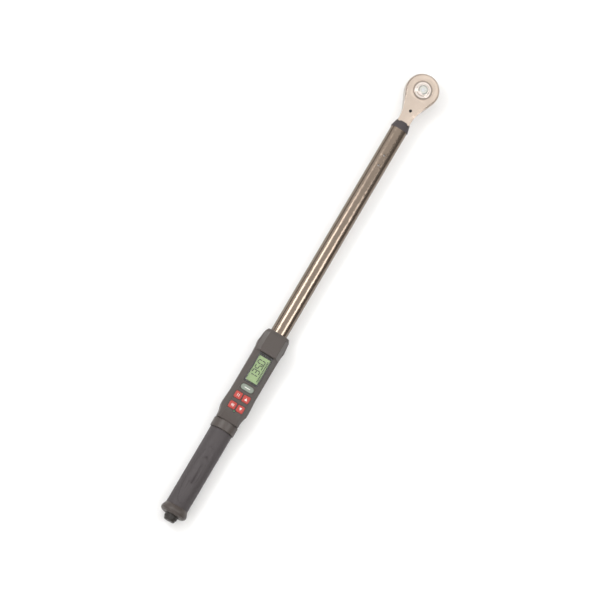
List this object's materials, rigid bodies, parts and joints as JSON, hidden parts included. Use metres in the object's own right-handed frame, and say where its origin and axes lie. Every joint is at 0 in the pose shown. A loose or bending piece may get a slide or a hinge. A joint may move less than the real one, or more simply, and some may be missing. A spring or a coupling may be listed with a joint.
{
  "type": "electronic torque wrench",
  "caption": "Electronic torque wrench: reversible ratchet head, oval steel tube, hooded display housing with keys, and rubber grip with battery cap.",
  "frame": {"origin": "on the drive's axis, at the shoulder where a socket seats", "axes": "+X from the handle to the head, +Z out of the display, the square drive points to -Z"},
  "size_m": [0.6845, 0.045, 0.052],
  "materials": {
    "head_chrome": "satin plated steel",
    "tube_steel": "polished dark steel",
    "gear_steel": "machined hardened steel",
    "black_oxide": "black oxide",
    "spring_steel": "bright spring wire",
    "zinc_screw": "bright zinc",
    "black_plastic": "fine moulded texture",
    "bezel_plastic": "gloss black",
    "grip_rubber": "soft matt rubber",
    "seal_rubber": "smooth",
    "window_glass": "clear",
    "lcd_green": "green liquid-crystal panel",
    "white_plastic": "plain",
    "board_green": "solder mask",
    "chip_black": "plain",
    "dome_steel": "bright",
    "key_red": "soft-touch",
    "key_grey": "soft-touch",
    "lamp_green": "tinted",
    "brass_contact": "plated",
    "gauge_foil": "polyimide film",
    "cable_jacket": "PVC",
    "battery_jacket": "plain wrap",
    "cap_plastic": "moulded"
  },
  "bodies": {
    "frame": {"ratchet_head": "head_chrome", "head_cover": "head_chrome", "pawl_pin": "gear_steel", "battery_spring": "spring_steel", "cover_screws": "zinc_screw", "board_screws": "zinc_screw", "housing_screws": "black_oxide", "oil_screw": "black_oxide", "selector_seal": "seal_rubber", "housing_gasket": "seal_rubber", "front_collar": "grip_rubber", "steel_tube": "tube_steel", "tube_pins": "tube_steel", "strain_gauges": "gauge_foil", "gauge_cable": "cable_jacket", "battery_leads": "cable_jacket", "housing_upper": "black_plastic", "housing_lower": "black_plastic", "display_bezel": "bezel_plastic", "display_window": "window_glass", "lcd_glass": "lcd_green", "lcd_frame": "white_plastic", "circuit_board": "board_green", "board_chips": "chip_black", "dome_switches": "dome_steel", "buzzer": "chip_black", "status_lamp": "lamp_green", "grip_ring": "black_plastic", "handle_core": "black_plastic", "rubber_grip": "grip_rubber", "end_ring": "black_plastic", "front_contact": "brass_contact", "battery_front": "battery_jacket", "battery_rear": "battery_jacket"},
    "drive": {"drive_gear": "gear_steel", "detent_spring": "spring_steel"},
    "detent": {"detent_ball": "spring_steel"},
    "selector": {"selector_knob": "head_chrome", "selector_hub": "gear_steel", "selector_screw": "zinc_screw", "selector_spring": "spring_steel"},
    "plunger": {"selector_plunger": "gear_steel"},
    "pawl_body": {"pawl": "gear_steel"},
    "enter_key": {"enter_button": "key_grey"},
    "up_key": {"up_button": "key_red"},
    "down_key": {"down_button": "key_red"},
    "units_key": {"units_button": "key_red"},
    "menu_key": {"menu_button": "key_red"},
    "contact_carrier": {"cap_contact": "brass_contact"},
    "cap": {"battery_cap": "cap_plastic", "cap_seal": "seal_rubber"}
  },
  "joints": [
    {"name": "drive_spin", "type": "hinge", "parent": "frame", "child": "drive", "pos_m": [0, 0, 0.008], "axis": [0, 0, 1], "continuous": true},
    {"name": "detent_press", "type": "slide", "parent": "drive", "child": "detent", "axis": [0, -1, 0], "range_m": [0, 0.0009], "stiffness_N_per_m": 800, "springref_m": -0.0005, "deforming": ["detent_spring"]},
    {"name": "selector_turn", "type": "hinge", "parent": "frame", "child": "selector", "pos_m": [0, 0, 0.0156], "axis": [0, 0, 1], "range_deg": [0, 30]},
    {"name": "plunger_press", "type": "slide", "parent": "selector", "child": "plunger", "axis": [0.9659, -0.2588, 0], "range_m": [0, 0.0006], "stiffness_N_per_m": 800, "springref_m": -0.0005, "deforming": ["selector_spring"]},
    {"name": "pawl_rock", "type": "hinge", "parent": "frame", "child": "pawl_body", "pos_m": [-0.0185, 0, 0.01], "axis": [0, 0, 1], "range_deg": [-13, 0]},
    {"name": "enter_press", "type": "slide", "parent": "frame", "child": "enter_key", "axis": [0, 0, -1], "range_m": [0, 0.0007], "stiffness_N_per_m": 1000, "springref_m": -0.0003},
    {"name": "up_press", "type": "slide", "parent": "frame", "child": "up_key", "axis": [0, 0, -1], "range_m": [0, 0.0007], "stiffness_N_per_m": 1000, "springref_m": -0.0003},
    {"name": "down_press", "type": "slide", "parent": "frame", "child": "down_key", "axis": [0, 0, -1], "range_m": [0, 0.0007], "stiffness_N_per_m": 1000, "springref_m": -0.0003},
    {"name": "units_press", "type": "slide", "parent": "frame", "child": "units_key", "axis": [0, 0, -1], "range_m": [0, 0.0007], "stiffness_N_per_m": 1000, "springref_m": -0.0003},
    {"name": "menu_press", "type": "slide", "parent": "frame", "child": "menu_key", "axis": [0, 0, -1], "range_m": [0, 0.0007], "stiffness_N_per_m": 1000, "springref_m": -0.0003},
    {"name": "cap_travel", "type": "slide", "parent": "frame", "child": "contact_carrier", "axis": [-1, 0, 0], "range_m": [0, 0.006], "deforming": ["battery_spring"]},
    {"name": "cap_unscrew", "type": "hinge", "parent": "contact_carrier", "child": "cap", "pos_m": [-0.65, 0, 0.012], "axis": [1, 0, 0], "range_deg": [0, 1440]}
  ],
  "couplings": [
    {"joint": "pawl_rock", "follows": "selector_turn", "ratio": -0.43333},
    {"joint": "cap_unscrew", "follows": "cap_travel", "rad_per_m": 4188.8}
  ]
}
